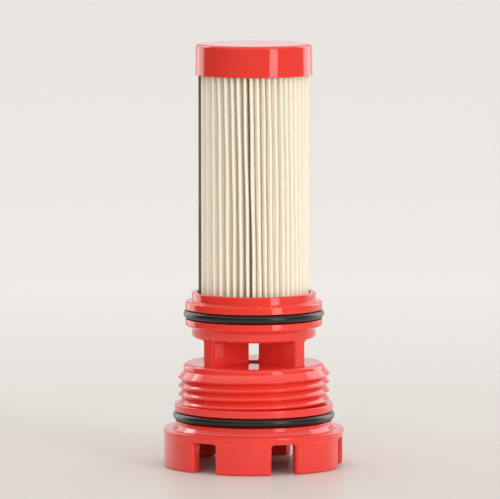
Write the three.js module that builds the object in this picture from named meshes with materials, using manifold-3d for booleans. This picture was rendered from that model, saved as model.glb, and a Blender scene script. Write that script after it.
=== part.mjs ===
// Screw-in fuel filter cartridge: a red threaded base with a castellated head, a four-vane neck and a
// collar cup, a pleated paper element around a perforated core, a red end cap, and two O-rings.
// Millimetres, +Z up along the cartridge's axis. The origin is the centre of the plane it stands on.
// An azimuth of 0 points along -Y, and +90 points along +X.

import * as THREE from 'three';
import { mergeVertices } from 'three/addons/utils/BufferGeometryUtils.js';
import Module from 'manifold-3d';

const wasm = await Module();
wasm.setup();

// Rounds: how many flats stand for a full circle
const OUTER_SIDES = 60;
const INNER_SIDES = 24;
const THREAD_SIDES = 36;
const SECTION_SIDES = 8;

// Head: a ring of teeth that a spanner turns, under a flange
const TOOTH_HEIGHT = 8.9;
const HEAD_RADIUS = 26.1;
const HEAD_INNER_RADIUS = 22.8;
const HEAD_FLOOR = 9.3;
const FLANGE_RADIUS = 26.4;
const FLANGE_TOP = 10.9;
const EDGE_ROUND = 0.4;
const LIP_BOTTOM = 9.5;
const SLOT_WIDTH = 7.6;
const WIDE_SLOT_WIDTH = 11.4;
const HEAD_TURN = -7.05;
const SLOT_ANGLES = [-153, -90, -27, 27, 153];
const WIDE_SLOT_ANGLE = 90;

// Plug: shoulder, lower O-ring groove, guard ring and thread
const SHOULDER_RADIUS = 22.9;
const SHOULDER_FOOT = 1.1;
const LOWER_GROOVE = { radius: 20.95, bottom: 13.4, top: 16.2 };
const GUARD_RADIUS = 23.0;
const GUARD_TOP = 18.45;
const PLUG_RADIUS = 20.6;
const PLUG_TOP = 30.2;
const PLUG_EDGE = 0.8;
const PLUG_CORE_RADIUS = 17.4;
const PLUG_ROOF = 3.6;

// Thread: 60 degree form, right-handed, one start
const THREAD_CREST_RADIUS = 22.2;
const THREAD_PITCH = 2.5;
const THREAD_CREST_WIDTH = 0.45;
const THREAD_BASE_RADIUS = 20.45;
const THREAD_BASE_WIDTH = 2.47;
const THREAD_LEFT_CREST = 20.83;
const THREAD_START_AZIMUTH = -90 - 440;
const THREAD_END_AZIMUTH = 150 + 720;
const THREAD_FADE = 40;

// Neck: four vanes in an X around the outlet bore
const NECK_TOP = 37.7;
const VANE_AZIMUTHS = [49.5, 130.5, 229.5, 310.5];
const VANE_THICKNESS = 3.9;
const VANE_RADIUS = 17.7;
const OUTLET_RADIUS = 4.4;
const FLOOR_RIB = { width: 2.4, height: 0.6, length: 8 };

// Collar: two lands with the upper O-ring between them, around the cup that holds the element
const COLLAR_RADIUS = 17.95;
const COLLAR_CONE = { bottom: 39.8, top: 40.9 };
const LAND_RADIUS = 20.05;
const LAND_ROUND = 0.6;
const UPPER_GROOVE = { radius: 17.85, bottom: 43.15, top: 45.95 };
const LAND_TOP = 48.35;
const COLLAR_TOP = 50.9;
const CUP_RADIUS = 16.6;
const CUP_FLOOR = 42.3;

// O-rings: 2.6 mm section, stretched into their grooves
const O_RING_SECTION = 2.6;
const O_RING_CLEARANCE = 0.05;

// Element: pleated paper between two layers of potting, around a perforated core
const POTTING_RADIUS = 16.3;
const ELEMENT_BOTTOM = 45;
const ELEMENT_TOP = 118;
const PLEATS = 50;
const PLEAT_RADIUS = 16.1;
const PLEAT_INNER_RADIUS = 8.5;
const PLEAT_MEETING_RADIUS = 9.7;
const PLEAT_HALF_WIDTH = 0.5;
const PLEAT_ROUND = 0.25;
const PAPER = 0.38;
const SEAM_AZIMUTH = -88;
const SEAM_RADIUS = 15.6;
const CORE = { radius: 8.1, inner: 7.0, rows: 6, windows: 6, windowHeight: 6, windowWidth: 4 };

// Seam clip: a strip folded to a U over the paper's two ends
const CLIP = { radius: 16.2, inner: 13.2, wall: 0.25, clearance: 0.08 };

// End cap
const CAP_RADIUS = 17.0;
const CAP_BOTTOM = 114.25;
const CAP_TOP = 123.3;
const CAP_EDGE = 1.3;
const CAP_EDGE_MIDDLE = 0.4;
const CAP_SKIRT_RADIUS = 16.5;
const CAP_CEILING = 121;

// Materials
const redGloss = new THREE.MeshStandardMaterial({ color: 0xe2382c, roughness: 0.2, metalness: 0 });
const paperMatte = new THREE.MeshStandardMaterial({ color: 0xe6d8b8, roughness: 0.95, metalness: 0 });
const clipGrey = new THREE.MeshStandardMaterial({ color: 0x5b5a57, roughness: 0.6, metalness: 0 });
const coreBlack = new THREE.MeshStandardMaterial({ color: 0x2c2c2c, roughness: 0.6, metalness: 0 });
const pottingTan = new THREE.MeshStandardMaterial({ color: 0xb9a27c, roughness: 0.5, metalness: 0 });
const rubberBlack = new THREE.MeshStandardMaterial({ color: 0x1c1b1a, roughness: 0.55, metalness: 0 });

const radians = THREE.MathUtils.degToRad;

function solid(geometry) {
  const bare = geometry.index ? geometry.toNonIndexed() : geometry.clone();
  bare.deleteAttribute('normal');
  bare.deleteAttribute('uv');
  const merged = mergeVertices(bare, 1e-5);
  return new wasm.Manifold(new wasm.Mesh({
    numProp: 3,
    vertProperties: new Float32Array(merged.attributes.position.array),
    triVerts: new Uint32Array(merged.index.array),
  }));
}

function geometryOf(body) {
  const mesh = body.getMesh();
  const geometry = new THREE.BufferGeometry();
  geometry.setAttribute('position', new THREE.BufferAttribute(new Float32Array(mesh.vertProperties), 3));
  geometry.setIndex(new THREE.BufferAttribute(new Uint32Array(mesh.triVerts), 1));
  return geometry;
}

// A solid of revolution about Z. The outline is [radius, height] pairs, from the top down its outside.
function turned(outline, sides) {
  const points = outline.map(([radius, height]) => new THREE.Vector2(radius, height)).reverse();
  const geometry = new THREE.LatheGeometry(points, sides);
  geometry.rotateX(Math.PI / 2);
  return geometry;
}

// A closed ring: the outline is closed back on its first point.
function turnedRing(outline, sides) {
  return turned([...outline, outline[0]], sides);
}

function box(width, depth, height, azimuth, radius, bottom) {
  const geometry = new THREE.BoxGeometry(width, depth, height);
  geometry.translate(0, -radius, bottom + height / 2);
  geometry.rotateZ(radians(azimuth));
  return geometry;
}

function upright(shape, bottom, top) {
  const geometry = new THREE.ExtrudeGeometry(shape, { depth: top - bottom, bevelEnabled: false });
  geometry.translate(0, 0, bottom);
  return geometry;
}

function named(name, geometry, material) {
  const mesh = new THREE.Mesh(geometry, material);
  mesh.name = name;
  return mesh;
}

// A point at a radius on the radial line of an azimuth, moved sideways in millimetres.
function radialPoint(radius, azimuth, sideways = 0) {
  const angle = radians(azimuth);
  return new THREE.Vector2(
    radius * Math.sin(angle) + sideways * Math.cos(angle),
    -radius * Math.cos(angle) + sideways * Math.sin(angle),
  );
}

function plugAndHead() {
  const core = PLUG_TOP - PLUG_ROOF;
  return solid(turned([
    [0, PLUG_TOP],
    [PLUG_RADIUS - PLUG_EDGE, PLUG_TOP],
    [PLUG_RADIUS, PLUG_TOP - PLUG_EDGE],
    [PLUG_RADIUS, GUARD_TOP],
    [GUARD_RADIUS - EDGE_ROUND, GUARD_TOP],
    [GUARD_RADIUS, GUARD_TOP - EDGE_ROUND],
    [GUARD_RADIUS, LOWER_GROOVE.top],
    [LOWER_GROOVE.radius, LOWER_GROOVE.top],
    [LOWER_GROOVE.radius, LOWER_GROOVE.bottom],
    [SHOULDER_RADIUS, LOWER_GROOVE.bottom],
    [SHOULDER_RADIUS, FLANGE_TOP + SHOULDER_FOOT],
    [SHOULDER_RADIUS + SHOULDER_FOOT, FLANGE_TOP],
    [FLANGE_RADIUS - EDGE_ROUND, FLANGE_TOP],
    [FLANGE_RADIUS, FLANGE_TOP - EDGE_ROUND],
    [FLANGE_RADIUS, LIP_BOTTOM],
    [HEAD_RADIUS, LIP_BOTTOM],
    [HEAD_RADIUS, 0],
    [HEAD_INNER_RADIUS, 0],
    [HEAD_INNER_RADIUS, HEAD_FLOOR],
    [PLUG_CORE_RADIUS, HEAD_FLOOR],
    [PLUG_CORE_RADIUS, core],
    [0, core],
  ], OUTER_SIDES));
}

function slotCutter(width, angle) {
  const depth = 2 * (FLANGE_RADIUS - HEAD_INNER_RADIUS);
  const middle = (FLANGE_RADIUS + HEAD_INNER_RADIUS) / 2;
  return solid(box(width, depth, 2 * TOOTH_HEIGHT, HEAD_TURN + angle, middle, -TOOTH_HEIGHT));
}

function slotCutters() {
  const narrow = SLOT_ANGLES.map((angle) => slotCutter(SLOT_WIDTH, angle));
  return [...narrow, slotCutter(WIDE_SLOT_WIDTH, WIDE_SLOT_ANGLE)];
}

// The thread's section is extruded straight, one millimetre of length for each radian of turn, and
// then wound: X is the radius, Y points down the axis and Z is the angle. It sinks in at both ends.
function threadRidge() {
  const half = THREAD_BASE_WIDTH / 2;
  const crest = THREAD_CREST_WIDTH / 2;
  const section = new THREE.Shape([
    new THREE.Vector2(THREAD_BASE_RADIUS, -half),
    new THREE.Vector2(THREAD_CREST_RADIUS, -crest),
    new THREE.Vector2(THREAD_CREST_RADIUS, crest),
    new THREE.Vector2(THREAD_BASE_RADIUS, half),
  ]);
  const turn = THREAD_END_AZIMUTH - THREAD_START_AZIMUTH;
  const steps = Math.round((turn / 360) * THREAD_SIDES);
  const geometry = new THREE.ExtrudeGeometry(section, { depth: radians(turn), steps, bevelEnabled: false });
  const position = geometry.attributes.position;
  for (let i = 0; i < position.count; i += 1) {
    const along = THREE.MathUtils.radToDeg(position.getZ(i));
    const azimuth = THREAD_START_AZIMUTH + along;
    const sink = 1 - Math.min(1, along / THREAD_FADE, (turn - along) / THREAD_FADE);
    const radius = position.getX(i) - sink * (THREAD_CREST_RADIUS - THREAD_BASE_RADIUS);
    const height = THREAD_LEFT_CREST + (THREAD_PITCH * (azimuth + 90)) / 360;
    const point = radialPoint(radius, azimuth);
    position.setXYZ(i, point.x, point.y, height - position.getY(i));
  }
  return solid(geometry);
}

// The vanes and the collar, with the outlet bore cut down through both. The vanes run on into the
// plug and the collar, so that the three are one body.
function vanesAndCollar() {
  const overlap = 0.5;
  const bottom = PLUG_TOP - overlap;
  const top = NECK_TOP + overlap;
  const round = solid(turned([
    [0, top],
    [VANE_RADIUS, top],
    [VANE_RADIUS, bottom],
    [0, bottom],
  ], OUTER_SIDES));
  const bore = solid(turned([
    [0, CUP_FLOOR + overlap],
    [OUTLET_RADIUS, CUP_FLOOR + overlap],
    [OUTLET_RADIUS, bottom - overlap],
    [0, bottom - overlap],
  ], INNER_SIDES));
  const height = top - bottom + overlap;
  const middle = VANE_RADIUS / 2 + overlap;
  const bars = VANE_AZIMUTHS.map((azimuth) => (
    solid(box(VANE_THICKNESS, VANE_RADIUS, height, azimuth, middle, bottom))
  ));
  const vanes = bars.reduce((all, bar) => all.add(bar)).intersect(round);
  return vanes.add(collar()).subtract(bore);
}

function collar() {
  return solid(turned([
    [0, CUP_FLOOR],
    [CUP_RADIUS, CUP_FLOOR],
    [CUP_RADIUS, COLLAR_TOP],
    [COLLAR_RADIUS, COLLAR_TOP],
    [COLLAR_RADIUS, LAND_TOP],
    [LAND_RADIUS - LAND_ROUND, LAND_TOP],
    [LAND_RADIUS, LAND_TOP - LAND_ROUND],
    [LAND_RADIUS, UPPER_GROOVE.top],
    [UPPER_GROOVE.radius, UPPER_GROOVE.top],
    [UPPER_GROOVE.radius, UPPER_GROOVE.bottom],
    [LAND_RADIUS, UPPER_GROOVE.bottom],
    [LAND_RADIUS, COLLAR_CONE.top],
    [COLLAR_RADIUS, COLLAR_CONE.bottom],
    [COLLAR_RADIUS, NECK_TOP],
    [0, NECK_TOP],
  ], OUTER_SIDES));
}

// A low rib on the plug's floor, across the outlet bore between the vanes.
function floorRib() {
  const sunk = 0.5;
  const { length, width, height } = FLOOR_RIB;
  return solid(box(length, width, height + sunk, 0, 0, PLUG_TOP - sunk));
}

function threadedBase() {
  const head = slotCutters().reduce((all, cutter) => all.subtract(cutter), plugAndHead());
  return geometryOf(head.add(threadRidge()).add(vanesAndCollar()).add(floorRib()));
}

function oRing(groove) {
  const section = O_RING_SECTION / 2;
  const ring = groove.radius + O_RING_CLEARANCE + section;
  const geometry = new THREE.TorusGeometry(ring, section, SECTION_SIDES, OUTER_SIDES);
  geometry.translate(0, 0, (groove.bottom + groove.top) / 2);
  return geometry;
}

// One zigzag band of paper. Each pleat is a rounded finger with a narrow slot inside it. The pleat
// at the seam has no tip: the band's two ends stand side by side there.
function pleatedMedia() {
  const pitch = 360 / PLEATS;
  const slot = PLEAT_HALF_WIDTH - PAPER;
  const foot = THREE.MathUtils.degToRad(pitch / 2) * PLEAT_INNER_RADIUS - slot;
  const outside = [radialPoint(SEAM_RADIUS, SEAM_AZIMUTH, PLEAT_HALF_WIDTH)];
  const inside = [radialPoint(SEAM_RADIUS, SEAM_AZIMUTH, slot)];
  for (let k = 1; k <= PLEATS; k += 1) {
    const azimuth = SEAM_AZIMUTH + k * pitch;
    const valley = azimuth - pitch / 2;
    outside.push(radialPoint(PLEAT_MEETING_RADIUS, valley));
    inside.push(radialPoint(PLEAT_INNER_RADIUS, valley, -foot), radialPoint(PLEAT_INNER_RADIUS, valley, foot));
    if (k < PLEATS) {
      outside.push(
        radialPoint(PLEAT_RADIUS - PLEAT_ROUND, azimuth, -PLEAT_HALF_WIDTH),
        radialPoint(PLEAT_RADIUS, azimuth, -PLEAT_HALF_WIDTH + PLEAT_ROUND),
        radialPoint(PLEAT_RADIUS, azimuth, PLEAT_HALF_WIDTH - PLEAT_ROUND),
        radialPoint(PLEAT_RADIUS - PLEAT_ROUND, azimuth, PLEAT_HALF_WIDTH),
      );
      inside.push(
        radialPoint(PLEAT_RADIUS - PAPER, azimuth, -slot),
        radialPoint(PLEAT_RADIUS - PAPER, azimuth, slot),
      );
    }
  }
  outside.push(radialPoint(SEAM_RADIUS, SEAM_AZIMUTH, -PLEAT_HALF_WIDTH));
  inside.push(radialPoint(SEAM_RADIUS, SEAM_AZIMUTH, -slot));
  return upright(new THREE.Shape([...outside, ...inside.reverse()]), ELEMENT_BOTTOM, ELEMENT_TOP);
}

function seamClip() {
  const inner = PLEAT_HALF_WIDTH + CLIP.clearance;
  const outer = inner + CLIP.wall;
  const at = (radius, sideways) => radialPoint(radius, SEAM_AZIMUTH, sideways);
  const shape = new THREE.Shape([
    at(CLIP.inner, -outer),
    at(CLIP.radius, -outer),
    at(CLIP.radius, outer),
    at(CLIP.inner, outer),
    at(CLIP.inner, inner),
    at(CLIP.radius - CLIP.wall, inner),
    at(CLIP.radius - CLIP.wall, -inner),
    at(CLIP.inner, -inner),
  ]);
  return upright(shape, ELEMENT_BOTTOM, ELEMENT_TOP);
}

function coreTube() {
  const tube = solid(turnedRing([
    [CORE.inner, ELEMENT_TOP],
    [CORE.radius, ELEMENT_TOP],
    [CORE.radius, ELEMENT_BOTTOM],
    [CORE.inner, ELEMENT_BOTTOM],
  ], INNER_SIDES));
  const spacing = (ELEMENT_TOP - ELEMENT_BOTTOM) / CORE.rows;
  const through = 3 * CORE.radius;
  let body = tube;
  for (let row = 0; row < CORE.rows; row += 1) {
    const bottom = ELEMENT_BOTTOM + spacing * (row + 0.5) - CORE.windowHeight / 2;
    for (let azimuth = 0; azimuth < 180; azimuth += 360 / CORE.windows) {
      const bar = box(CORE.windowWidth, through, CORE.windowHeight, azimuth, 0, bottom);
      body = body.subtract(solid(bar));
    }
  }
  return geometryOf(body);
}

function collarPotting() {
  return turnedRing([
    [CORE.inner, ELEMENT_BOTTOM],
    [POTTING_RADIUS, ELEMENT_BOTTOM],
    [POTTING_RADIUS, CUP_FLOOR],
    [CORE.inner, CUP_FLOOR],
  ], INNER_SIDES);
}

function capPotting() {
  return turned([
    [0, CAP_CEILING],
    [POTTING_RADIUS, CAP_CEILING],
    [POTTING_RADIUS, ELEMENT_TOP],
    [0, ELEMENT_TOP],
  ], INNER_SIDES);
}

function endCap() {
  return turned([
    [0, CAP_TOP],
    [CAP_RADIUS - CAP_EDGE, CAP_TOP],
    [CAP_RADIUS - CAP_EDGE_MIDDLE, CAP_TOP - CAP_EDGE_MIDDLE],
    [CAP_RADIUS, CAP_TOP - CAP_EDGE],
    [CAP_RADIUS, CAP_BOTTOM],
    [CAP_SKIRT_RADIUS, CAP_BOTTOM],
    [CAP_SKIRT_RADIUS, CAP_CEILING],
    [0, CAP_CEILING],
  ], OUTER_SIDES);
}

const filter = new THREE.Group();
filter.add(
  named('end_cap', endCap(), redGloss),
  named('cap_potting', capPotting(), pottingTan),
  named('pleated_media', pleatedMedia(), paperMatte),
  named('seam_clip', seamClip(), clipGrey),
  named('core_tube', coreTube(), coreBlack),
  named('collar_potting', collarPotting(), pottingTan),
  named('threaded_base', threadedBase(), redGloss),
  named('upper_o_ring', oRing(UPPER_GROOVE), rubberBlack),
  named('lower_o_ring', oRing(LOWER_GROOVE), rubberBlack),
);

export default filter;
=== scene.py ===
"""A fuel filter cartridge standing on its castellated head, on a plain pale floor in soft studio light.

Everything is in metres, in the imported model's frame: +Z up along the cartridge's axis, and the origin in
the middle of the plane it stands on. An azimuth of 0 points along -Y, towards the camera, and an azimuth
of 90 along +X.
"""

import math
import random

import bmesh
import bpy
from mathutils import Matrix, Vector


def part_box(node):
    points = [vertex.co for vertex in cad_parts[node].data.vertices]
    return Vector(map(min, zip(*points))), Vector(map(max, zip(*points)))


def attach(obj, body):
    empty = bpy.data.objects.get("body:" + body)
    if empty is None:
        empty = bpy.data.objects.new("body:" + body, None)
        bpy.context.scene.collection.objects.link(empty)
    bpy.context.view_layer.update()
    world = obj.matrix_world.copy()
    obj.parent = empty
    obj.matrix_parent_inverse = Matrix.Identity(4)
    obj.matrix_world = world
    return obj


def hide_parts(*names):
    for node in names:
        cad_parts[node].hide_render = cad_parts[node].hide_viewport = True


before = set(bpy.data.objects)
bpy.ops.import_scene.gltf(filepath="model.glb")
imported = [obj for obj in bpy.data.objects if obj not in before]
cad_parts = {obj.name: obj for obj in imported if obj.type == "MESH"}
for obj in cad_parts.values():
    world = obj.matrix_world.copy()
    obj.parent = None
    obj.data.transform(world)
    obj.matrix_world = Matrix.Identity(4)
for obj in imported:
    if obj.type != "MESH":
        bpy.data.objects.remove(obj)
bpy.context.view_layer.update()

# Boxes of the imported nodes, which give each piece's place and outer size
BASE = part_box("threaded_base")
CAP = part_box("end_cap")
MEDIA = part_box("pleated_media")
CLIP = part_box("seam_clip")
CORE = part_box("core_tube")
LOWER_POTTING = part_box("collar_potting")
UPPER_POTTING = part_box("cap_potting")

# Head: a ring of teeth that a spanner turns, under a flange
FLANGE_RADIUS = BASE[1].x
FLANGE_TOP = 0.0111
LIP_EDGE = 0.0101
LIP_BOTTOM = 0.0093
HEAD_RADIUS = 0.0263
CEILING_RADIUS = HEAD_RADIUS - 0.0001
CEILING_ROUND = 0.0001
HEAD_INNER_RADIUS = 0.0228
TOOTH_INNER_RADIUS = HEAD_INNER_RADIUS + 0.00005
HEAD_FLOOR = 0.0093
SLOT_TOP = 0.0089
SLOT_WIDTH = 0.0072
WIDE_SLOT_WIDTH = 0.0110
HEAD_TURN = -7.05
SLOT_ANGLES = (-153, -90, -27, 27, 153)
WIDE_SLOT_ANGLE = 90
TOOTH_FOOT_ROUND = 0.0009
TOOTH_SIDE_ROUND = 0.0008
TOOTH_CORNER = 0.0012
TOOTH_CORNER_REACH = 0.0018
TOOTH_CORNER_TAPER = 0.55
TOOTH_CORNER_STEPS = 5
TOOTH_INNER_CORNER = 0.0004
TOOTH_STEPS = 24
SLOT_CORNER = 0.0011

# Plug: shoulder, lower O-ring groove, guard ring and threaded wall, hollow from below
SHOULDER_RADIUS = 0.0229
SHOULDER_FOOT = 0.0013
LOWER_GROOVE_RADIUS = 0.02095
LOWER_GROOVE_BOTTOM = 0.0134
LOWER_GROOVE_TOP = 0.0162
GUARD_RADIUS = 0.02315
GUARD_TOP = 0.01845
PLUG_RADIUS = 0.0206
PLUG_TOP = 0.0302
PLUG_ROUND = 0.0013
PLUG_WALL_TOP = 0.0287
PLUG_CORE_RADIUS = 0.0174
PLUG_CORE_ROUND = 0.0012
PLUG_CORE_TOP = PLUG_TOP - 0.0036

# Thread: right-handed and one start. Both ends of its ridge fade into the plug.
THREAD_PITCH = 0.0025
THREAD_CREST_RADIUS = 0.02232
THREAD_CREST_ROUND = 0.0003
THREAD_ROOT_RADIUS = 0.02085
THREAD_FOOT_RADIUS = PLUG_RADIUS - 0.0004
THREAD_LOWER_FLANK = 0.0009
THREAD_TURN_GAP = 0.00002
THREAD_LEAD_RADIUS = THREAD_CREST_RADIUS - THREAD_CREST_ROUND / 2
THREAD_LEAD_HEIGHT = 0.0025
THREAD_LEFT_CREST = 0.02083
THREAD_START = -530
THREAD_END = 870
THREAD_FADE = 40
THREAD_FADE_DEPTH = 0.0019
THREAD_STEP = 2

# Neck: four vanes in an X around the outlet bore
NECK_TOP = 0.0375
VANE_AZIMUTHS = (49.9, 132.1, 229.9, 312.1)
VANE_THICKNESS = 0.0042
VANE_RADIUS = 0.0179
VANE_CORNER = 0.0008
VANE_FILLET = 0.0008
VANE_CORNER_STEPS = 4
VANE_HALF_STEPS = 4
VANE_FILLET_STEPS = 6
VANE_SUNK = 0.0008
OUTLET_RADIUS = 0.0044
RIB_LENGTH = 0.008
RIB_WIDTH = 0.0024
RIB_HEIGHT = 0.0006
RIB_STEPS = 6
RIB_SUNK_ANGLE = -0.4
RIB_CORNER_SHARE = 0.8
RIB_CORNER_STEPS = 5

# Collar: two lands with the upper O-ring between them, around the cup that holds the element
COLLAR_RADIUS = 0.01812
COLLAR_FOOT_ROUND = 0.0012
CONE_BOTTOM = 0.0402
CONE_TOP = 0.0413
LAND_RADIUS = 0.02005
LAND_ROUND = 0.0007
UPPER_GROOVE_RADIUS = 0.01785
UPPER_GROOVE_BOTTOM = 0.04315
UPPER_GROOVE_TOP = 0.04595
LAND_TOP = 0.04835
COLLAR_TOP = BASE[1].z
CUP_RADIUS = 0.0166
CUP_FLOOR = LOWER_POTTING[0].z
PARTING_AZIMUTHS = (-41, 139)
PARTING_HEIGHT = 0.00016
PARTING_WIDTH = 0.0002
PARTING_STEP = 0.25
PARTING_STEPS = 6
FLASH_WIDTH = 0.00012
FLASH_INNER_RADIUS = 0.0165
FLASH_OUTER_RADIUS = 0.0178

# Roundings that several edges of the mouldings share
EDGE_TIGHT = 0.00015
EDGE_CRISP = 0.0002
EDGE_FINE = 0.00025
EDGE_PLAIN = 0.0003
EDGE_SOFT = 0.0004
EDGE_ROUND = 0.0005
EDGE_FULL = 0.0006

# O-rings
O_RING_STEPS = 48
O_RING_FLASH = 0.00003

# Element
PLEATS = 50
PLEAT_RADIUS = 0.0161
PLEAT_OPEN_RADIUS = 0.0120
PLEAT_PRESSED_RADIUS = 0.0136
PLEAT_GAP_RADIUS = 0.0104
OPEN_PLEATS = 10
GAP_PLEAT = 9
PLEAT_INNER_RADIUS = 0.0085
PLEAT_HALF_WIDTH = 0.00044
PLEAT_TIP_STEPS = 8
PLEAT_SIDE_SHARES = (0.33, 0.67)
PLEAT_LEVELS = 64
PLEAT_TWIST = 3.4
PLEAT_WAVES = ((0.35, 0.9, 0.13), (0.25, 2.1, 0.41))
PLEAT_GAP_SPREAD = 0.09
PLEAT_WIDTH_SPREAD = (0.86, 1.08)
VALLEY_SPREAD = 0.0006
VALLEY_RISE = 0.0004
VALLEY_HALF_WIDTH = 0.00007
PAPER = 0.00034
SEAM_AZIMUTH = -88
SEAM_RADIUS = 0.0156
SEAM_SPREAD = 1.5
SEAM_SPREAD_PLEATS = 2.4
SEAM_HELD_PLEATS = 4
SEAM_WAVES = ((0.35, 5.1, 0.4), (0.2, 13, 0))
CLIP_WALL = 0.00025
CLIP_HALF_WIDTH = 0.00058
CLIP_INNER_RADIUS = 0.0132
CLIP_OUTER_RADIUS = SEAM_RADIUS + CLIP_WALL + 0.00025
CLIP_OUTER_ROUND = 0.00035
CLIP_INNER_ROUND = 0.0001
CLIP_ROUND_STEPS = 4
CLIP_LEVELS = 40
CORE_WALL = 0.0011
CORE_EDGE = 0.00015
CORE_ROWS = 6
CORE_COLUMNS = 6
CORE_SIDES = 72
CORE_WINDOW = 0.006
POTTING_CLIMB = 0.0004
POTTING_MENISCUS = 0.0006
POTTING_MENISCUS_ROUND = 0.0008
POTTING_SWELL = 0.00003
POTTING_GAP = 0.00003

# End cap
CAP_ROUND = 0.0011
CAP_DRAFT = 0.0001
CAP_DISH = 0.00004
CAP_DISH_MARGIN = 0.0030
CAP_FLARE = 0.00018
CAP_FLARE_HEIGHT = 0.0007
CAP_SKIRT_RADIUS = 0.0165
CAP_CEILING = UPPER_POTTING[1].z

# Camera: a long lens, a little above the cap and looking slightly down
CAMERA_DISTANCE = 1.6635
CAMERA_HEIGHT = 0.2213
CAMERA_SIDE = -0.0011
CAMERA_PITCH = 5.43
LENS = 412.9

# Stage: the table ends in front and to the left, where the room is dark
TABLE_X = (-0.24, 0.5)
TABLE_Y = (-0.28, 4)
TABLE_GAP = 0.0001
FLOOR_HALF = 6
# Where the floor's painted shade at the front turns into its painted lighter back
FLOOR_FRONT = -0.06
FLOOR_BACK = 0.5
SOFTBOX_DISTANCE = 1.3

# How bright the room's walls are at each azimuth, and the height at which they turn into its ceiling
WALL_LEVELS = (
    (-180, 0.88),
    (-118, 0.88),
    (-111, 0.18),
    (-60, 0.22),
    (-20, 0.40),
    (30, 0.38),
    (60, 0.36),
    (111, 0.37),
    (119, 0.80),
    (180, 0.88),
)
CEILING_START = 0.45
CEILING_FULL = 0.85
CEILING_COLOUR = (1.2, 1.19, 1.18, 1)
BACKDROP_COLOUR = (0.86, 0.83, 0.80, 1)

# Sockets of a Mix node that mixes colours
FIRST_COLOUR = 6
SECOND_COLOUR = 7
MIXED_COLOUR = 2

ONE_DEGREE = [float(step) for step in range(360)]
dice = random.Random(7)


# Shapes

def around(radius, azimuth, sideways=0.0):
    """A point at a radius on an azimuth's line, moved sideways."""
    angle = math.radians(azimuth)
    east = radius * math.sin(angle) + sideways * math.cos(angle)
    south = radius * math.cos(angle) - sideways * math.sin(angle)
    return Vector((east, -south))


def rounded(outline, closed=False, steps=6):
    """The outline's points, with an arc at each corner that gives a radius as its third value."""
    points = []
    for i, corner in enumerate(outline):
        here = Vector(corner[:2])
        is_end = not closed and i in (0, len(outline) - 1)
        if len(corner) < 3 or is_end:
            points.append(here)
            continue
        before = (Vector(outline[i - 1][:2]) - here).normalized()
        after = (Vector(outline[(i + 1) % len(outline)][:2]) - here).normalized()
        half = before.angle(after) / 2
        middle = here + (before + after).normalized() * corner[2] / math.sin(half)
        first = here + before * corner[2] / math.tan(half) - middle
        last = here + after * corner[2] / math.tan(half) - middle
        turn = math.atan2(first.x * last.y - first.y * last.x, first.dot(last))
        for step in range(steps + 1):
            c, s = math.cos(turn * step / steps), math.sin(turn * step / steps)
            points.append(middle + Vector((c * first.x - s * first.y, s * first.x + c * first.y)))
    return points


def revolved(outline, azimuths=ONE_DEGREE, closed=False, shaped=None):
    """A solid of revolution as a bmesh. The outline runs from the top down its outside."""
    bm = bmesh.new()
    columns = []
    poles = {i: bm.verts.new((0, 0, p.y)) for i, p in enumerate(outline) if p.x < 1e-9}
    for azimuth in azimuths:
        column = []
        for i, point in enumerate(outline):
            radius = shaped(azimuth, point.x, point.y) if shaped else point.x
            column.append(poles.get(i) or bm.verts.new((*around(radius, azimuth), point.y)))
        columns.append(column)
    rows = len(outline) if closed else len(outline) - 1
    for j, column in enumerate(columns):
        following = columns[(j + 1) % len(columns)]
        for i in range(rows):
            k = (i + 1) % len(outline)
            ring = [column[i], column[k], following[k], following[i]]
            bm.faces.new(dict.fromkeys(ring))
    return bm


def lofted(rings):
    """A closed bmesh body through level rings, lowest first. A ring is its points and its height."""
    return skinned([[(*point, height) for point in points] for points, height in rings])


def skinned(rings):
    """A closed bmesh body through rings of 3-D points, with as many points in each."""
    bm = bmesh.new()
    layers = [[bm.verts.new(point) for point in ring] for ring in rings]
    for low, high in zip(layers, layers[1:]):
        for i in range(len(low)):
            k = (i + 1) % len(low)
            bm.faces.new((low[i], low[k], high[k], high[i]))
    bm.faces.new(reversed(layers[0]))
    bm.faces.new(layers[-1])
    return bm


def made(name, bodies):
    """One object that holds these bmesh bodies, with their faces turned outwards."""
    whole = bmesh.new()
    for body in bodies:
        bmesh.ops.recalc_face_normals(body, faces=body.faces)
        part = bpy.data.meshes.new(name)
        body.to_mesh(part)
        body.free()
        whole.from_mesh(part)
        bpy.data.meshes.remove(part)
    mesh = bpy.data.meshes.new(name)
    whole.to_mesh(mesh)
    whole.free()
    piece = bpy.data.objects.new(name, mesh)
    bpy.context.scene.collection.objects.link(piece)
    return piece


def united(piece, others):
    """Unites the piece with the other objects as one solid."""
    for other in others:
        join = piece.modifiers.new("join", "BOOLEAN")
        join.operation = "UNION"
        join.solver = "MANIFOLD"
        join.object = other
    bpy.context.view_layer.update()
    depsgraph = bpy.context.evaluated_depsgraph_get()
    mesh = bpy.data.meshes.new_from_object(piece.evaluated_get(depsgraph))
    piece.modifiers.clear()
    piece.data = mesh
    for other in others:
        bpy.data.objects.remove(other)


def joined(piece, other):
    """Adds the other object's closed surfaces, which are sunk into the piece, without cutting either."""
    whole = bmesh.new()
    whole.from_mesh(piece.data)
    whole.from_mesh(other.data)
    whole.to_mesh(piece.data)
    whole.free()
    bpy.data.objects.remove(other)


def smooth(piece, angle=32):
    """Smooth shading with crisp edges where faces meet at more than the angle."""
    piece.data.shade_smooth()
    piece.data.set_sharp_from_angle(angle=math.radians(angle))
    normals = piece.modifiers.new("even normals", "WEIGHTED_NORMAL")
    normals.keep_sharp = True
    return piece


def placed(piece, material, node):
    """The piece takes a material and a record slot, and stands for its CAD node."""
    piece.data.materials.clear()
    piece.data.materials.append(material)
    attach(piece, "root")
    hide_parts(node)
    return piece


# Base

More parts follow.
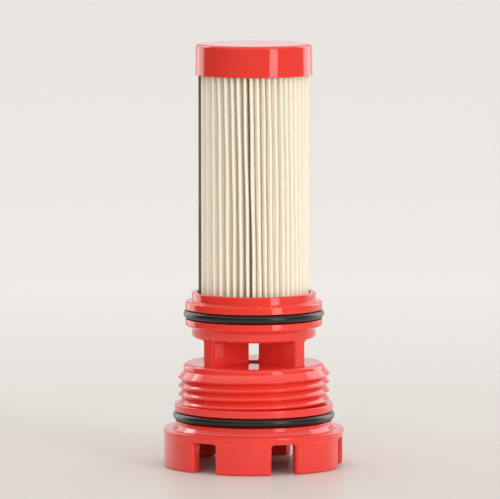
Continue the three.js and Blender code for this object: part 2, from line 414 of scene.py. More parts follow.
def swept_on_helix(outline, start, end):
    """A body whose outline climbs the thread's helix. Both ends sink into the plug."""
    rings = []
    for azimuth in range(start, end + 1, THREAD_STEP):
        ends = min(1.0, (azimuth - start) / THREAD_FADE, (end - azimuth) / THREAD_FADE)
        drawn = (1 - ends) * THREAD_FADE_DEPTH
        middle = THREAD_LEFT_CREST + THREAD_PITCH * (azimuth + 90) / 360
        rings.append([(*around(point.x - drawn, azimuth), middle + point.y) for point in outline])
    return skinned(rings)


def thread_ridge():
    """The thread: short lower flanks, longer upper flanks, and turns that meet in a sharp root."""
    top = THREAD_PITCH - THREAD_LOWER_FLANK - THREAD_TURN_GAP
    outline = rounded([
        (THREAD_FOOT_RADIUS, -THREAD_LOWER_FLANK),
        (THREAD_ROOT_RADIUS, -THREAD_LOWER_FLANK),
        (THREAD_CREST_RADIUS, 0, THREAD_CREST_ROUND),
        (THREAD_ROOT_RADIUS, top),
        (THREAD_FOOT_RADIUS, top),
    ])
    return swept_on_helix(outline, THREAD_START, THREAD_END)


def thread_lead():
    """The slope above the last turn, where no groove is cut."""
    outline = rounded([
        (THREAD_FOOT_RADIUS, -THREAD_TURN_GAP),
        (THREAD_LEAD_RADIUS, -THREAD_TURN_GAP),
        (THREAD_LEAD_RADIUS, THREAD_CREST_ROUND / 2, THREAD_CREST_ROUND / 3),
        (THREAD_FOOT_RADIUS, THREAD_LEAD_HEIGHT),
    ])
    return swept_on_helix(outline, THREAD_END - 360, THREAD_END)


def plug_and_flange():
    """The plug with its guard ring and groove, the shoulder and the flange, cored out from below.

    The row at PLUG_WALL_TOP keeps the long wall out of the shading of the rim.
    """
    outline = rounded([
        (0, PLUG_TOP),
        (PLUG_RADIUS, PLUG_TOP, PLUG_ROUND),
        (PLUG_RADIUS, PLUG_WALL_TOP),
        (PLUG_RADIUS, GUARD_TOP, EDGE_PLAIN),
        (GUARD_RADIUS, GUARD_TOP, EDGE_SOFT),
        (GUARD_RADIUS, LOWER_GROOVE_TOP, EDGE_SOFT),
        (LOWER_GROOVE_RADIUS, LOWER_GROOVE_TOP, EDGE_CRISP),
        (LOWER_GROOVE_RADIUS, LOWER_GROOVE_BOTTOM, EDGE_CRISP),
        (SHOULDER_RADIUS, LOWER_GROOVE_BOTTOM, EDGE_FINE),
        (SHOULDER_RADIUS, FLANGE_TOP + SHOULDER_FOOT, EDGE_ROUND),
        (SHOULDER_RADIUS + SHOULDER_FOOT, FLANGE_TOP, EDGE_SOFT),
        (FLANGE_RADIUS, FLANGE_TOP, EDGE_ROUND),
        (FLANGE_RADIUS, LIP_EDGE, EDGE_FULL),
        (CEILING_RADIUS, LIP_BOTTOM, EDGE_SOFT),
        (CEILING_RADIUS, SLOT_TOP, CEILING_ROUND),
        (HEAD_INNER_RADIUS, SLOT_TOP, EDGE_TIGHT),
        (HEAD_INNER_RADIUS, HEAD_FLOOR),
        (PLUG_CORE_RADIUS, HEAD_FLOOR, EDGE_FULL),
        (PLUG_CORE_RADIUS, PLUG_CORE_TOP, PLUG_CORE_ROUND),
        (0, PLUG_CORE_TOP),
    ])
    return revolved(outline)


def slots():
    """Each slot's azimuth and half width, in order round the head."""
    narrow = [(HEAD_TURN + angle, SLOT_WIDTH / 2) for angle in SLOT_ANGLES]
    return sorted([*narrow, (HEAD_TURN + WIDE_SLOT_ANGLE, WIDE_SLOT_WIDTH / 2)])


def quarter(steps=7):
    """Angles from 0 to a right angle."""
    return [math.pi / 2 * step / steps for step in range(steps + 1)]


def tooth_ring(left, right, foot, side):
    """A tooth's outline between two slots, drawn in by foot at its outside and by side at its walls."""
    outer = HEAD_RADIUS - foot
    inner = TOOTH_INNER_RADIUS + max(side, 0)
    ring = []
    for radius, is_outer in ((outer, True), (inner, False)):
        start = left[0] + math.degrees(math.asin((left[1] + side) / radius))
        end = right[0] - math.degrees(math.asin((right[1] + side) / radius))
        reach = math.degrees(TOOTH_CORNER_REACH / radius)
        step = (end - start - 2 * reach) / TOOTH_STEPS
        arc = [around(radius, start + reach + step * i) for i in range(TOOTH_STEPS + 1)]
        arc = [around(radius, start), *arc, around(radius, end)]
        arc = arc if is_outer else arc[::-1]
        corner = TOOTH_CORNER if is_outer else TOOTH_INNER_CORNER
        corner *= 1 - TOOTH_CORNER_TAPER * foot / TOOTH_FOOT_ROUND
        arc[0] = (*arc[0], corner)
        arc[-1] = (*arc[-1], corner)
        ring.extend(arc)
    return ring


def tooth(left, right):
    """One tooth: rounded at its foot, and flared into the ceiling of the slots beside it."""
    levels = []
    for angle in quarter():
        drawn = 1 - math.sin(angle)
        height = TOOTH_FOOT_ROUND * (1 - math.cos(angle))
        levels.append((TOOTH_FOOT_ROUND * drawn, TOOTH_SIDE_ROUND * drawn, height))
    for angle in quarter():
        height = SLOT_TOP - SLOT_CORNER * (1 - math.sin(angle))
        levels.append((0, -SLOT_CORNER * (1 - math.cos(angle)), height))
    levels.append((0, -SLOT_CORNER, LIP_EDGE))
    rings = []
    for foot, side, height in levels:
        ring = tooth_ring(left, right, foot, side)
        rings.append((rounded(ring, closed=True, steps=TOOTH_CORNER_STEPS), height))
    return lofted(rings)


def teeth():
    """A tooth between each slot and the next."""
    ring = slots()
    following = [*ring[1:], (ring[0][0] + 360, ring[0][1])]
    return [tooth(left, right) for left, right in zip(ring, following)]


def vane_ring(azimuth, flare):
    """A vane's outline, which keeps to the neck's and the outlet's circles and is flared at its sides."""
    half = VANE_THICKNESS / 2 + flare
    ring = []
    for radius, way in ((VANE_RADIUS, 1), (OUTLET_RADIUS, -1)):
        for step in range(-VANE_HALF_STEPS, VANE_HALF_STEPS + 1):
            sideways = way * half * step / VANE_HALF_STEPS
            point = around(math.sqrt(radius * radius - sideways * sideways), azimuth, sideways)
            is_corner = radius == VANE_RADIUS and abs(step) == VANE_HALF_STEPS
            ring.append((*point, VANE_CORNER) if is_corner else tuple(point))
    return rounded(ring, closed=True, steps=VANE_CORNER_STEPS)


def vane(azimuth):
    """A vane of the neck, with a fillet at its foot and at its head."""
    levels = [(VANE_FILLET, PLUG_TOP - VANE_SUNK)]
    for angle in quarter(VANE_FILLET_STEPS):
        height = PLUG_TOP + VANE_FILLET * (1 - math.cos(angle))
        levels.append((VANE_FILLET * (1 - math.sin(angle)), height))
    for angle in quarter(VANE_FILLET_STEPS):
        height = NECK_TOP - VANE_FILLET * (1 - math.sin(angle))
        levels.append((VANE_FILLET * (1 - math.cos(angle)), height))
    levels.append((VANE_FILLET, NECK_TOP + VANE_SUNK))
    return lofted([(vane_ring(azimuth, flare), height) for flare, height in levels])


def vane_flash(azimuth):
    """The flash that the parting line leaves down the corner of a vane."""
    half = FLASH_WIDTH / 2
    ring = [
        around(FLASH_INNER_RADIUS, azimuth, -half),
        around(FLASH_OUTER_RADIUS, azimuth, -half),
        around(FLASH_OUTER_RADIUS, azimuth, half),
        around(FLASH_INNER_RADIUS, azimuth, half),
    ]
    return lofted([(ring, PLUG_TOP - VANE_SUNK), (ring, NECK_TOP + VANE_SUNK)])


def floor_rib():
    """The half-round rib on the plug's floor, across the outlet bore."""
    rings = []
    for angle in [RIB_SUNK_ANGLE, *quarter(RIB_STEPS)[:-1]]:
        drawn = RIB_WIDTH / 2 * (1 - math.cos(angle))
        along, across = RIB_LENGTH / 2 - drawn, RIB_WIDTH / 2 - drawn
        corners = [(-along, -across), (along, -across), (along, across), (-along, across)]
        ring = [(*corner, RIB_CORNER_SHARE * across) for corner in corners]
        ring = rounded(ring, closed=True, steps=RIB_CORNER_STEPS)
        rings.append((ring, PLUG_TOP + RIB_HEIGHT * math.sin(angle)))
    return lofted(rings)


def parting_line(azimuth, radius, height):
    """The mould's parting line stands a little proud on the cylinder under the lands."""
    if not NECK_TOP < height < CONE_TOP or radius < OUTLET_RADIUS * 2:
        return radius
    away = min(abs((azimuth - line + 180) % 360 - 180) for line in PARTING_AZIMUTHS)
    across = math.radians(away) * radius / PARTING_WIDTH
    return radius + PARTING_HEIGHT * math.exp(-across * across)


def collar():
    """The collar with its two lands, the upper O-ring's groove and the cup for the element."""
    outline = rounded([
        (CUP_RADIUS, COLLAR_TOP, EDGE_FINE),
        (COLLAR_RADIUS, COLLAR_TOP, EDGE_PLAIN),
        (COLLAR_RADIUS, LAND_TOP, EDGE_PLAIN),
        (LAND_RADIUS, LAND_TOP, LAND_ROUND),
        (LAND_RADIUS, UPPER_GROOVE_TOP, EDGE_CRISP),
        (UPPER_GROOVE_RADIUS, UPPER_GROOVE_TOP, EDGE_CRISP),
        (UPPER_GROOVE_RADIUS, UPPER_GROOVE_BOTTOM, EDGE_CRISP),
        (LAND_RADIUS, UPPER_GROOVE_BOTTOM, EDGE_CRISP),
        (LAND_RADIUS, CONE_TOP, EDGE_SOFT),
        (COLLAR_RADIUS, CONE_BOTTOM, EDGE_SOFT),
        (COLLAR_RADIUS, NECK_TOP, COLLAR_FOOT_ROUND),
        (OUTLET_RADIUS, NECK_TOP, EDGE_PLAIN),
        (OUTLET_RADIUS, CUP_FLOOR, EDGE_PLAIN),
        (CUP_RADIUS, CUP_FLOOR, EDGE_ROUND),
    ], closed=True)
    steps = range(-PARTING_STEPS, PARTING_STEPS + 1)
    fine = [line + PARTING_STEP * step for line in PARTING_AZIMUTHS for step in steps]
    azimuths = sorted({round(azimuth % 360, 2) for azimuth in [*ONE_DEGREE, *fine]})
    return revolved(outline, azimuths, closed=True, shaped=parting_line)


def threaded_base(material):
    """The red moulding. The thread isn't cut to the plug, which would leave streaks in its shading."""
    piece = made("threaded_base_moulding", [plug_and_flange()])
    others = [
        made("teeth", teeth()),
        made("vanes", [vane(azimuth) for azimuth in VANE_AZIMUTHS]),
        made("flash", [vane_flash(azimuth) for azimuth in PARTING_AZIMUTHS]),
        made("collar", [collar()]),
        made("rib", [floor_rib()]),
    ]
    united(piece, others)
    joined(piece, made("thread", [thread_ridge(), thread_lead()]))
    return placed(smooth(piece), material, "threaded_base")


# O-rings

def o_ring(name, node, material):
    """A moulded O-ring with the faint flash lines that its mould leaves round its outside and inside."""
    low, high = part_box(node)
    section = (high.z - low.z) / 2
    ring = high.x - section
    height = (low.z + high.z) / 2
    outline = []
    for step in range(O_RING_STEPS):
        angle = -math.tau * step / O_RING_STEPS
        reach = section + (O_RING_FLASH if step in (0, O_RING_STEPS // 2) else 0)
        outline.append(Vector((ring + reach * math.cos(angle), height + section * math.sin(angle))))
    piece = made(name, [revolved(outline, closed=True)])
    return placed(smooth(piece, 60), material, node)


# Element

def pleat_azimuths():
    """Where the pleats stand. They spread out on one side of the seam, and none is quite even."""
    gaps = []
    for k in range(PLEATS):
        spread = SEAM_SPREAD * math.exp(-k / SEAM_SPREAD_PLEATS)
        gaps.append(1 + spread + dice.uniform(-PLEAT_GAP_SPREAD, PLEAT_GAP_SPREAD))
    scale = 360 / sum(gaps)
    azimuth = SEAM_AZIMUTH
    azimuths = [azimuth]
    for gap in gaps:
        azimuth += gap * scale
        azimuths.append(azimuth)
    return azimuths


def pleat_sway(k, up):
    """How far pleat k has turned from its place at a height from 0 to 1, in degrees."""
    free = min(1.0, min(k, PLEATS - k) / SEAM_HELD_PLEATS)
    twist = -PLEAT_TWIST * (up ** 1.6 - 0.25)
    wave = sum(size * math.sin(math.tau * (waves * up + lag * k)) for size, waves, lag in PLEAT_WAVES)
    between_ends = math.sin(math.pi * up) ** 0.5
    return free * (twist + wave * between_ends)


def media_ring(azimuths, widths, depths, up):
    """One closed outline of the paper band at a height: its outside, then its inside back again."""
    at = [azimuth + pleat_sway(k, up) for k, azimuth in enumerate(azimuths)]
    slot = PLEAT_HALF_WIDTH - PAPER
    outside = [around(SEAM_RADIUS, at[0], PLEAT_HALF_WIDTH)]
    inside = [around(SEAM_RADIUS, at[0], slot)]
    for k in range(1, PLEATS + 1):
        valley = (at[k - 1] + at[k]) / 2
        foot = math.radians(at[k] - at[k - 1]) * PLEAT_INNER_RADIUS / 2 - slot
        outside += [
            around(depths[k] + VALLEY_RISE, valley, -VALLEY_HALF_WIDTH),
            around(depths[k], valley),
            around(depths[k] + VALLEY_RISE, valley, VALLEY_HALF_WIDTH),
        ]
        inside += [
            around(PLEAT_INNER_RADIUS, valley, -foot),
            around(PLEAT_INNER_RADIUS, valley, foot),
        ]
        if k == PLEATS:
            break
        half = widths[k]
        bend = PLEAT_RADIUS - half
        first, last = around(bend, at[k], -half), around(bend, at[k], half)
        next_valley = (at[k] + at[k + 1]) / 2
        following = around(depths[k + 1] + VALLEY_RISE, next_valley, -VALLEY_HALF_WIDTH)
        outside += [outside[-1].lerp(first, share) for share in PLEAT_SIDE_SHARES]
        for step in range(PLEAT_TIP_STEPS + 1):
            angle = math.pi * step / PLEAT_TIP_STEPS
            outside.append(around(bend + half * math.sin(angle), at[k], -half * math.cos(angle)))
        outside += [last.lerp(following, share) for share in PLEAT_SIDE_SHARES]
        inside += [around(PLEAT_RADIUS - PAPER, at[k], -slot), around(PLEAT_RADIUS - PAPER, at[k], slot)]
    outside.append(around(SEAM_RADIUS, at[PLEATS], -PLEAT_HALF_WIDTH))
    inside.append(around(SEAM_RADIUS, at[PLEATS], PAPER - PLEAT_HALF_WIDTH))
    return outside + inside[::-1]


def pleated_media(material):
    """The pleated paper. Some pleats beside the seam are less pressed together, and one stands open."""
    azimuths = pleat_azimuths()
    widths = [PLEAT_HALF_WIDTH * dice.uniform(*PLEAT_WIDTH_SPREAD) for _ in azimuths]
    depths = []
    for k in range(PLEATS + 1):
        meeting = PLEAT_OPEN_RADIUS if k < OPEN_PLEATS else PLEAT_PRESSED_RADIUS
        meeting = PLEAT_GAP_RADIUS if k == GAP_PLEAT else meeting
        depths.append(meeting + dice.uniform(-VALLEY_SPREAD, VALLEY_SPREAD))
    low, high = MEDIA[0].z, MEDIA[1].z
    rings = []
    for level in range(PLEAT_LEVELS + 1):
        up = level / PLEAT_LEVELS
        rings.append((media_ring(azimuths, widths, depths, up), low + (high - low) * up))
    piece = made("pleated_paper", [lofted(rings)])
    return placed(smooth(piece, 50), material, "pleated_media")


def seam_clip(material):
    """The strip folded over the paper's two ends. It wanders a little on its way up."""
    low, high = CLIP[0].z, CLIP[1].z
    half = CLIP_HALF_WIDTH + CLIP_WALL
    section = rounded([
        (CLIP_INNER_RADIUS, -half, CLIP_INNER_ROUND),
        (CLIP_OUTER_RADIUS, -half, CLIP_OUTER_ROUND),
        (CLIP_OUTER_RADIUS, half, CLIP_OUTER_ROUND),
        (CLIP_INNER_RADIUS, half, CLIP_INNER_ROUND),
        (CLIP_INNER_RADIUS, CLIP_HALF_WIDTH),
        (CLIP_OUTER_RADIUS - CLIP_WALL, CLIP_HALF_WIDTH),
        (CLIP_OUTER_RADIUS - CLIP_WALL, -CLIP_HALF_WIDTH),
        (CLIP_INNER_RADIUS, -CLIP_HALF_WIDTH),
    ], closed=True, steps=CLIP_ROUND_STEPS)
    rings = []
    for level in range(CLIP_LEVELS + 1):
        up = level / CLIP_LEVELS
        azimuth = sum((size * math.sin(waves * up + lag) for size, waves, lag in SEAM_WAVES), SEAM_AZIMUTH)
        ring = [around(point.x, azimuth, point.y) for point in section]
        rings.append((ring, low + (high - low) * up))
    piece = made("seam_strip", [lofted(rings)])
    return placed(smooth(piece, 40), material, "seam_clip")


def core_tube(material):
    """A tube with rows of windows, moulded with rounded edges."""
    low, high = CORE[0].z, CORE[1].z
    radius = CORE[1].x
    spacing = (high - low) / CORE_ROWS
    heights = [low]
    for row in range(CORE_ROWS):
        middle = low + spacing * (row + 0.5)
        heights += [middle - CORE_WINDOW / 2, middle + CORE_WINDOW / 2]
    heights.append(high)
    circle = [around(radius, 360 * i / CORE_SIDES) for i in range(CORE_SIDES)]
    column = CORE_SIDES // CORE_COLUMNS
    bm = bmesh.new()
    layers = [[bm.verts.new((*point, height)) for point in circle] for height in heights]
    for row, (under, over) in enumerate(zip(layers, layers[1:])):
        for i in range(CORE_SIDES):
            in_window = (i + column // 4) % column < column // 2
            if row % 2 == 1 and in_window:
                continue
            k = (i + 1) % CORE_SIDES
            bm.faces.new((under[i], under[k], over[k], over[i]))
    piece = made("core_tube_moulding", [bm])
    wall = piece.modifiers.new("wall", "SOLIDIFY")
    wall.thickness = CORE_WALL
    wall.offset = -1
    edge = piece.modifiers.new("edges", "BEVEL")
    edge.width = CORE_EDGE
    edge.segments = 2
    edge.limit_method = "ANGLE"
    return placed(smooth(piece, 50), material, "core_tube")


def collar_potting(material):
    """The adhesive in the collar's cup. It climbs a little at the walls, and its surface is uneven."""
    low, high = LOWER_POTTING[0].z, LOWER_POTTING[1].z
    inner = CORE[1].x - CORE_WALL
    outer = CUP_RADIUS - POTTING_GAP
    outline = rounded([
        (inner, high + POTTING_CLIMB),
        (inner + POTTING_MENISCUS, high, POTTING_MENISCUS_ROUND),
        (outer - POTTING_MENISCUS, high, POTTING_MENISCUS_ROUND),
        (outer, high + POTTING_CLIMB),
        (outer, low, EDGE_PLAIN),
        (inner, low, EDGE_PLAIN),
    ], closed=True)

    def uneven(azimuth, radius, height):
        swell = math.sin(math.radians(3 * azimuth)) + 0.6 * math.sin(math.radians(7 * azimuth + 40))
        is_free = inner + EDGE_PLAIN < radius < outer - EDGE_PLAIN
        return radius + POTTING_SWELL * swell if is_free else radius

    piece = made("lower_potting_ring", [revolved(outline, closed=True, shaped=uneven)])
    return placed(smooth(piece, 60), material, "collar_potting")


def cap_potting(material):
    """The adhesive in the end cap, a disc that hangs down a little at its rim."""
    low, high = UPPER_POTTING[0].z, UPPER_POTTING[1].z
    radius = UPPER_POTTING[1].x
    outline = rounded([
        (0, high),
        (radius, high, EDGE_PLAIN),
        (radius, low - POTTING_CLIMB),
        (radius - POTTING_MENISCUS, low, POTTING_MENISCUS_ROUND),
        (0, low),
    ])
    piece = made("upper_potting_disc", [revolved(outline)])
    return placed(smooth(piece, 60), material, "cap_potting")


def end_cap(material):
    """The cap: a slightly dished top, a rounded edge and a skirt that flares a little at its foot."""
    radius, top, bottom = CAP[1].x, CAP[1].z, CAP[0].z
    outline = rounded([
        (0, top - CAP_DISH),
        (radius - CAP_DISH_MARGIN, top),
        (radius - CAP_DRAFT, top, CAP_ROUND),
        (radius, bottom + CAP_FLARE_HEIGHT, EDGE_FULL),
        (radius + CAP_FLARE, bottom, EDGE_TIGHT),
        (CAP_SKIRT_RADIUS, bottom, EDGE_CRISP),
        (CAP_SKIRT_RADIUS, CAP_CEILING, EDGE_SOFT),
        (0, CAP_CEILING),
    ])
    piece = made("end_cap_moulding", [revolved(outline)])
    return placed(smooth(piece), material, "end_cap")


# Materials

class Surface:
    """A material's nodes, with short calls for the ones these materials use."""

    def __init__(self, name):
        self.material = bpy.data.materials.new(name)
        self.material.use_nodes = True
        self.nodes = self.material.node_tree.nodes
        self.links = self.material.node_tree.links
        self.shader = self.nodes["Principled BSDF"]
        self.place = self.nodes.new("ShaderNodeTexCoord").outputs["Object"]

    def set(self, **values):
        """Sets the shader's inputs to plain values."""
        for name, value in values.items():
            self.shader.inputs[name.replace("_", " ")].default_value = value

    def stretched(self, scale):
        """The object's coordinates, scaled by an amount along each axis."""
        mapping = self.nodes.new("ShaderNodeMapping")
        mapping.inputs["Scale"].default_value = scale
        self.links.new(self.place, mapping.inputs["Vector"])
        return mapping.outputs["Vector"]

    def noise(self, scale, detail=3, place=None):
        node = self.nodes.new("ShaderNodeTexNoise")
        node.inputs["Scale"].default_value = scale
        node.inputs["Detail"].default_value = detail
        self.links.new(place or self.place, node.inputs["Vector"])
        return node.outputs["Fac"]

    def ramp(self, value, low, high, start=0.35, end=0.65):
        """Goes from low to high as the value goes from start to end."""
        node = self.nodes.new("ShaderNodeMapRange")
        for name, number in (("From Min", start), ("From Max", end), ("To Min", low), ("To Max", high)):
            node.inputs[name].default_value = number
        self.links.new(value, node.inputs["Value"])
        return node.outputs["Result"]

    def mix(self, factor, first, second):
        node = self.nodes.new("ShaderNodeMix")
        node.data_type = "RGBA"
        for index, colour in ((FIRST_COLOUR, first), (SECOND_COLOUR, second)):
            socket = node.inputs[index]
            if isinstance(colour, tuple):
                socket.default_value = (*colour, 1)
            else:
                self.links.new(colour, socket)
        self.links.new(factor, node.inputs["Factor"])
        return node.outputs[MIXED_COLOUR]

    def bump(self, height, depth, before=None):
        """A bump of a depth in metres, on top of the one before it."""
        node = self.nodes.new("ShaderNodeBump")
        node.inputs["Distance"].default_value = depth
        self.links.new(height, node.inputs["Height"])
        if before:
            self.links.new(before, node.inputs["Normal"])
        return node.outputs["Normal"]

    def feed(self, **sources):
        """Links the shader's inputs to other nodes, and returns the finished material."""
        for name, source in sources.items():
            self.links.new(source, self.shader.inputs[name.replace("_", " ")])
        return self.material

    def worn_edge(self):
        """1 on sharp convex edges, and 0 on flat faces."""
        node = self.nodes.new("ShaderNodeNewGeometry")
        return self.ramp(node.outputs["Pointiness"], 0, 1, start=0.53, end=0.6)


def red_plastic(name, roughness, colour, deep, grain):
    """Moulded plastic: flow marks in the colour, a fine grain, and edges rubbed a little lighter."""
    surface = Surface(name)
    flow = surface.noise(scale=60, detail=4, place=surface.stretched((1, 1, 0.35)))
    fine = surface.noise(scale=2600, detail=2)
    haze = surface.noise(scale=220, detail=5)
    waves = surface.noise(scale=120, detail=2)
    tint = surface.mix(surface.ramp(flow, 0, 1), deep, colour)
    lighter = tuple(min(1, 1.12 * channel + 0.012) for channel in colour)
    bumps = surface.bump(fine, depth=grain)
    surface.set(IOR=1.5)
    return surface.feed(
        Base_Color=surface.mix(surface.worn_edge(), tint, lighter),
        Roughness=surface.ramp(haze, low=0.8 * roughness, high=1.25 * roughness),
        Normal=surface.bump(waves, depth=0.00003, before=bumps),
    )


def filter_paper():
    """Cellulose paper: long fibres, a mottled cream colour and a soft surface."""
    surface = Surface("filter_paper")
    fibres = surface.noise(scale=2200, detail=4, place=surface.stretched((1, 1, 0.3)))
    mottle = surface.noise(scale=420, detail=4)
    cockle = surface.noise(scale=500)
    tint = surface.mix(surface.ramp(mottle, 0, 1), (0.92, 0.84, 0.685), (0.95, 0.875, 0.72))
    bumps = surface.bump(fibres, depth=0.00003)
    return surface.feed(
        Base_Color=surface.mix(surface.ramp(fibres, low=0, high=0.35), tint, (0.95, 0.90, 0.79)),
        Roughness=surface.ramp(mottle, low=0.85, high=0.98),
        Normal=surface.bump(cockle, depth=0.00006, before=bumps),
    )


def rubber():
    """Black nitrile rubber, with a little dust on it, tinted warm as a painted reflection of the red
    moulding.
    """
    surface = Surface("o_ring_rubber")
    dust = surface.noise(scale=700)
    dusty = surface.ramp(dust, 0, 1, start=0.45, end=0.75)
    surface.set(Specular_IOR_Level=0.42)
    return surface.feed(
        # Both blacks are tinted warm as a painted reflection of the red moulding's light; the lighter one
        # is dust
        Base_Color=surface.mix(dusty, (0.009, 0.006, 0.004), (0.015, 0.011, 0.009)),
        Roughness=surface.ramp(dust, low=0.25, high=0.33),
        Normal=surface.bump(surface.noise(scale=3000), depth=0.000004),
    )


def strip_film():
    """The seam strip's dark grey film, streaked along its length."""
    surface = Surface("seam_strip_film")
    streaks = surface.noise(scale=300, detail=4, place=surface.stretched((1, 1, 0.1)))
    return surface.feed(
        Base_Color=surface.mix(surface.ramp(streaks, 0, 1), (0.075, 0.074, 0.070), (0.16, 0.16, 0.15)),
        Roughness=surface.ramp(streaks, low=0.4, high=0.6),
        Normal=surface.bump(surface.noise(scale=900), depth=0.00003),
    )


def core_plastic():
    """The core tube's matt black plastic."""
    surface = Surface("core_plastic")
    flow = surface.noise(scale=200, detail=4)
    return surface.feed(
        Base_Color=surface.mix(surface.ramp(flow, 0, 1), (0.018, 0.018, 0.019), (0.035, 0.035, 0.036)),
        Roughness=surface.ramp(flow, low=0.4, high=0.6),
        Normal=surface.bump(surface.noise(scale=1800), depth=0.00003),
    )


def adhesive():
    """Cured amber adhesive, slightly translucent."""
    surface = Surface("potting_adhesive")
    swirl = surface.noise(scale=260, detail=5)
    surface.set(Subsurface_Weight=0.1, Subsurface_Radius=(0.001, 0.0006, 0.0003))
    return surface.feed(
        Base_Color=surface.mix(surface.ramp(swirl, 0, 1), (0.42, 0.29, 0.15), (0.56, 0.42, 0.25)),
        Roughness=surface.ramp(swirl, low=0.2, high=0.42),
        Normal=surface.bump(surface.noise(scale=500), depth=0.00008),
    )


def floor_material(name, front, rear):
    """A pale satin sweep, with painted light and shade: its colour is darker towards the front and lighter
    towards the back.
    """
    surface = Surface(name)
    grain = surface.noise(scale=900)
    parts = surface.nodes.new("ShaderNodeSeparateXYZ")
    surface.links.new(surface.place, parts.inputs["Vector"])
    # Painted light and shade: the colour runs from the darker front to the lighter back
    back = surface.ramp(parts.outputs["Y"], 0, 1, start=FLOOR_FRONT, end=FLOOR_BACK)
    surface.set(Specular_IOR_Level=0.015)
    return surface.feed(
        Base_Color=surface.mix(back, front, rear),
        Roughness=surface.ramp(grain, low=0.3, high=0.32),
        Normal=surface.bump(grain, depth=0.0000004),
    )


# Stage

def camera():
    """The main camera."""
    data = bpy.data.cameras.new("camera")
    data.lens = LENS
    data.clip_start, data.clip_end = 0.1, 20
    eye = bpy.data.objects.new("camera", data)
    eye.location = (CAMERA_SIDE, -CAMERA_DISTANCE, CAMERA_HEIGHT)
    eye.rotation_euler = (math.radians(90 - CAMERA_PITCH), 0, 0)
    bpy.context.scene.collection.objects.link(eye)
    bpy.context.scene.camera = eye


def plane(name, x, y, material):
    """A level sheet that belongs to the stage, over a range of X and of Y."""
    mesh = bpy.data.meshes.new(name)
    corners = [(x[0], y[0], 0), (x[1], y[0], 0), (x[1], y[1], 0), (x[0], y[1], 0)]
    mesh.from_pydata(corners, [], [(0, 1, 2, 3)])
    sheet = bpy.data.objects.new(name, mesh)
    mesh.materials.append(material)
    bpy.context.scene.collection.objects.link(sheet)
    return sheet


def floors():
    """A wide floor that only the camera sees, and the table under it, which the object's light meets."""
    # The seen floor's colours carry painted shade at the front and painted light at the back
    sweep = floor_material("studio_floor", (0.69, 0.645, 0.595), (0.89, 0.85, 0.812))
    reach = (-FLOOR_HALF, FLOOR_HALF)
    wide = plane("studio_floor", reach, reach, sweep)
    wide.visible_diffuse = False
    wide.visible_glossy = False
    wide.visible_shadow = False
    wide.visible_transmission = False
    # Painted light: the table is paler than the seen floor, so that it throws more light back onto the
    # object's lower parts
    top = floor_material("table_top", (0.90, 0.88, 0.85), (0.92, 0.90, 0.88))
    table = plane("table_top", TABLE_X, TABLE_Y, top)
    table.location.z = -TABLE_GAP
    table.visible_camera = False


def softbox(name, azimuth, height, size, power):
    """A softbox that stands upright and faces the axis."""
    data = bpy.data.lights.new(name, "AREA")
    data.shape = "RECTANGLE"
    data.size, data.size_y = size
    data.energy = power
    light = bpy.data.objects.new(name, data)
    light.location = (*around(SOFTBOX_DISTANCE, azimuth), height)
    aim = Vector((0, 0, height)) - light.location
    light.rotation_euler = aim.to_track_quat("-Z", "Y").to_euler()
    bpy.context.scene.collection.objects.link(light)
    return light


def lights():
    """The key at the right, a fill that no reflection shows, and three that only reflections show."""
    softbox("key", azimuth=39.5, height=0.5, size=(0.38, 1.3), power=6.3)
    fill = softbox("front_fill", azimuth=-4, height=0.6, size=(1.0, 1.0), power=4.8)
    fill.visible_glossy = False
    strips = [
        softbox("left_strip", azimuth=-134, height=0.55, size=(0.78, 1.5), power=5.6),
        softbox("left_lamp", azimuth=-132, height=1.0, size=(0.34, 0.34), power=1.3),
        softbox("right_strip", azimuth=132, height=0.55, size=(0.75, 1.5), power=7.0),
    ]
    for strip in strips:
        strip.visible_diffuse = False


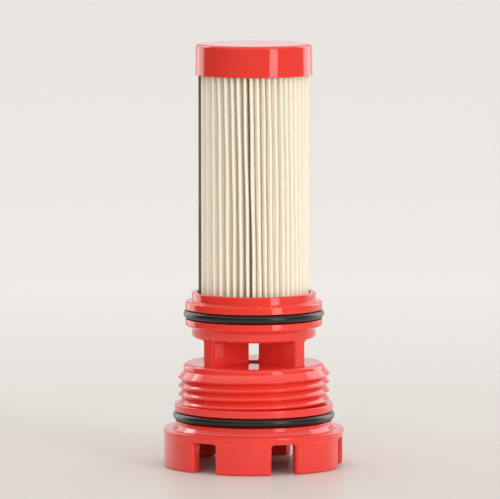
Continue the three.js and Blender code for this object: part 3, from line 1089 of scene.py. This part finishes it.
def wall_colour(nodes, links, direction):
    """The colour of the room's wall in a direction, from the direction's azimuth."""
    south = nodes.new("ShaderNodeMath")
    south.operation = "MULTIPLY"
    south.inputs[1].default_value = -1
    links.new(direction.outputs["Y"], south.inputs[0])
    azimuth = nodes.new("ShaderNodeMath")
    azimuth.operation = "ARCTAN2"
    links.new(direction.outputs["X"], azimuth.inputs[0])
    links.new(south.outputs[0], azimuth.inputs[1])
    share = nodes.new("ShaderNodeMapRange")
    share.inputs["From Min"].default_value = -math.pi
    share.inputs["From Max"].default_value = math.pi
    links.new(azimuth.outputs[0], share.inputs["Value"])
    walls = nodes.new("ShaderNodeValToRGB")
    elements = walls.color_ramp.elements
    while len(elements) < len(WALL_LEVELS):
        elements.new(0.5)
    for element, (degrees, level) in zip(elements, WALL_LEVELS):
        element.position = (degrees + 180) / 360
        element.color = (level, level, level, 1)
    links.new(share.outputs[0], walls.inputs["Fac"])
    return walls.outputs["Color"]


def colour_mix(nodes, links, factor, first, second):
    """Goes from a linked colour to a plain one as the factor goes from 0 to 1."""
    node = nodes.new("ShaderNodeMix")
    node.data_type = "RGBA"
    node.inputs[SECOND_COLOUR].default_value = second
    links.new(factor, node.inputs["Factor"])
    links.new(first, node.inputs[FIRST_COLOUR])
    return node.outputs[MIXED_COLOUR]


def room():
    """A room that is dark around the camera, white behind the object and light overhead."""
    world = bpy.data.worlds.new("studio")
    bpy.context.scene.world = world
    world.use_nodes = True
    nodes, links = world.node_tree.nodes, world.node_tree.links
    direction = nodes.new("ShaderNodeSeparateXYZ")
    links.new(nodes.new("ShaderNodeTexCoord").outputs["Generated"], direction.inputs["Vector"])
    overhead = nodes.new("ShaderNodeMapRange")
    overhead.interpolation_type = "SMOOTHSTEP"
    overhead.inputs["From Min"].default_value = CEILING_START
    overhead.inputs["From Max"].default_value = CEILING_FULL
    links.new(direction.outputs["Z"], overhead.inputs["Value"])
    walls = wall_colour(nodes, links, direction)
    inside = colour_mix(nodes, links, overhead.outputs[0], walls, CEILING_COLOUR)
    is_seen = nodes.new("ShaderNodeLightPath").outputs["Is Camera Ray"]
    seen = colour_mix(nodes, links, is_seen, inside, BACKDROP_COLOUR)
    links.new(seen, nodes["Background"].inputs["Color"])


def build():
    """The nine pieces."""
    red = (0.825, 0.042, 0.027)
    deep = (0.77, 0.035, 0.022)
    base_red = red_plastic("red_moulded_plastic", 0.08, red, deep, grain=0.0000015)
    cap_red = red_plastic("red_gloss_plastic", 0.06, red, deep, grain=0.0000006)
    black = rubber()
    glue = adhesive()
    threaded_base(base_red)
    o_ring("lower_o_ring_seal", "lower_o_ring", black)
    o_ring("upper_o_ring_seal", "upper_o_ring", black)
    pleated_media(filter_paper())
    seam_clip(strip_film())
    core_tube(core_plastic())
    collar_potting(glue)
    cap_potting(glue)
    end_cap(cap_red)


camera()
floors()
lights()
room()
build()
bpy.context.scene.view_settings.view_transform = "Standard"
